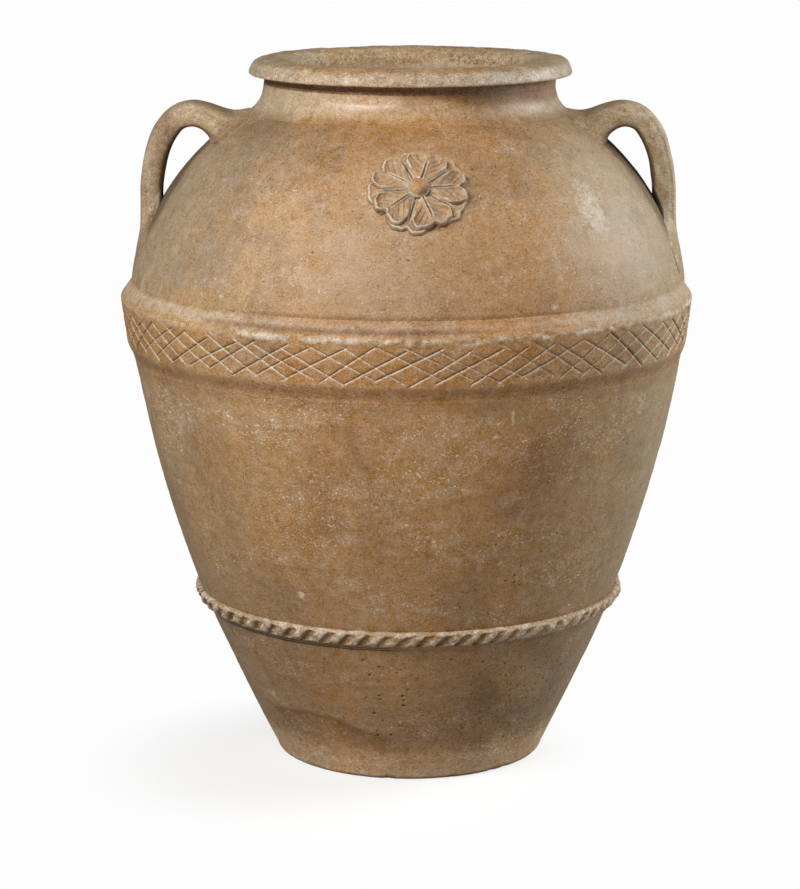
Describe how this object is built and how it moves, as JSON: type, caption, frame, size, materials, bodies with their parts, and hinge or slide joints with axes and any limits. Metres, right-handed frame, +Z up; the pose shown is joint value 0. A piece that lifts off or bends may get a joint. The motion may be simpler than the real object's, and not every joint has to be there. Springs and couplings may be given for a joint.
{
  "type": "terracotta oil jar",
  "caption": "Tall pot-bellied clay jar with a rolled rim, two strap handles, a cross-hatched belt, a rope cordon and a modelled double rose on the shoulder, for storing oil.",
  "frame": {"origin": "on the ground, under the jar's axis, at the middle of the foot", "axes": "+Z up the jar's axis, -Y the front with the rose, the handles on +X and -X"},
  "size_m": [0.732, 0.732, 0.9],
  "materials": {
    "wall_clay": "weathered matt terracotta with a grey-green patina and lime bloom",
    "rim_clay": "worn, slightly waxy terracotta, greyer on the lip",
    "trim_clay": "matt terracotta with lime in the cuts",
    "handle_clay": "hand-smoothed terracotta with a grey patina",
    "rose_clay": "hand-modelled terracotta with dust in the hollows"
  },
  "bodies": {
    "root": {"base_slab": "wall_clay", "lower_wall": "wall_clay", "belly_wall": "wall_clay", "shoulder_wall": "wall_clay", "neck_collar": "rim_clay", "rim_ring": "rim_clay", "belt_band": "trim_clay", "rope_cordon": "trim_clay", "handle_right": "handle_clay", "handle_left": "handle_clay", "rose_outer_petal_1": "rose_clay", "rose_inner_petal_1": "rose_clay", "rose_outer_petal_2": "rose_clay", "rose_inner_petal_2": "rose_clay", "rose_outer_petal_3": "rose_clay", "rose_inner_petal_3": "rose_clay", "rose_outer_petal_4": "rose_clay", "rose_inner_petal_4": "rose_clay", "rose_outer_petal_5": "rose_clay", "rose_inner_petal_5": "rose_clay", "rose_boss": "rose_clay"}
  },
  "joints": []
}
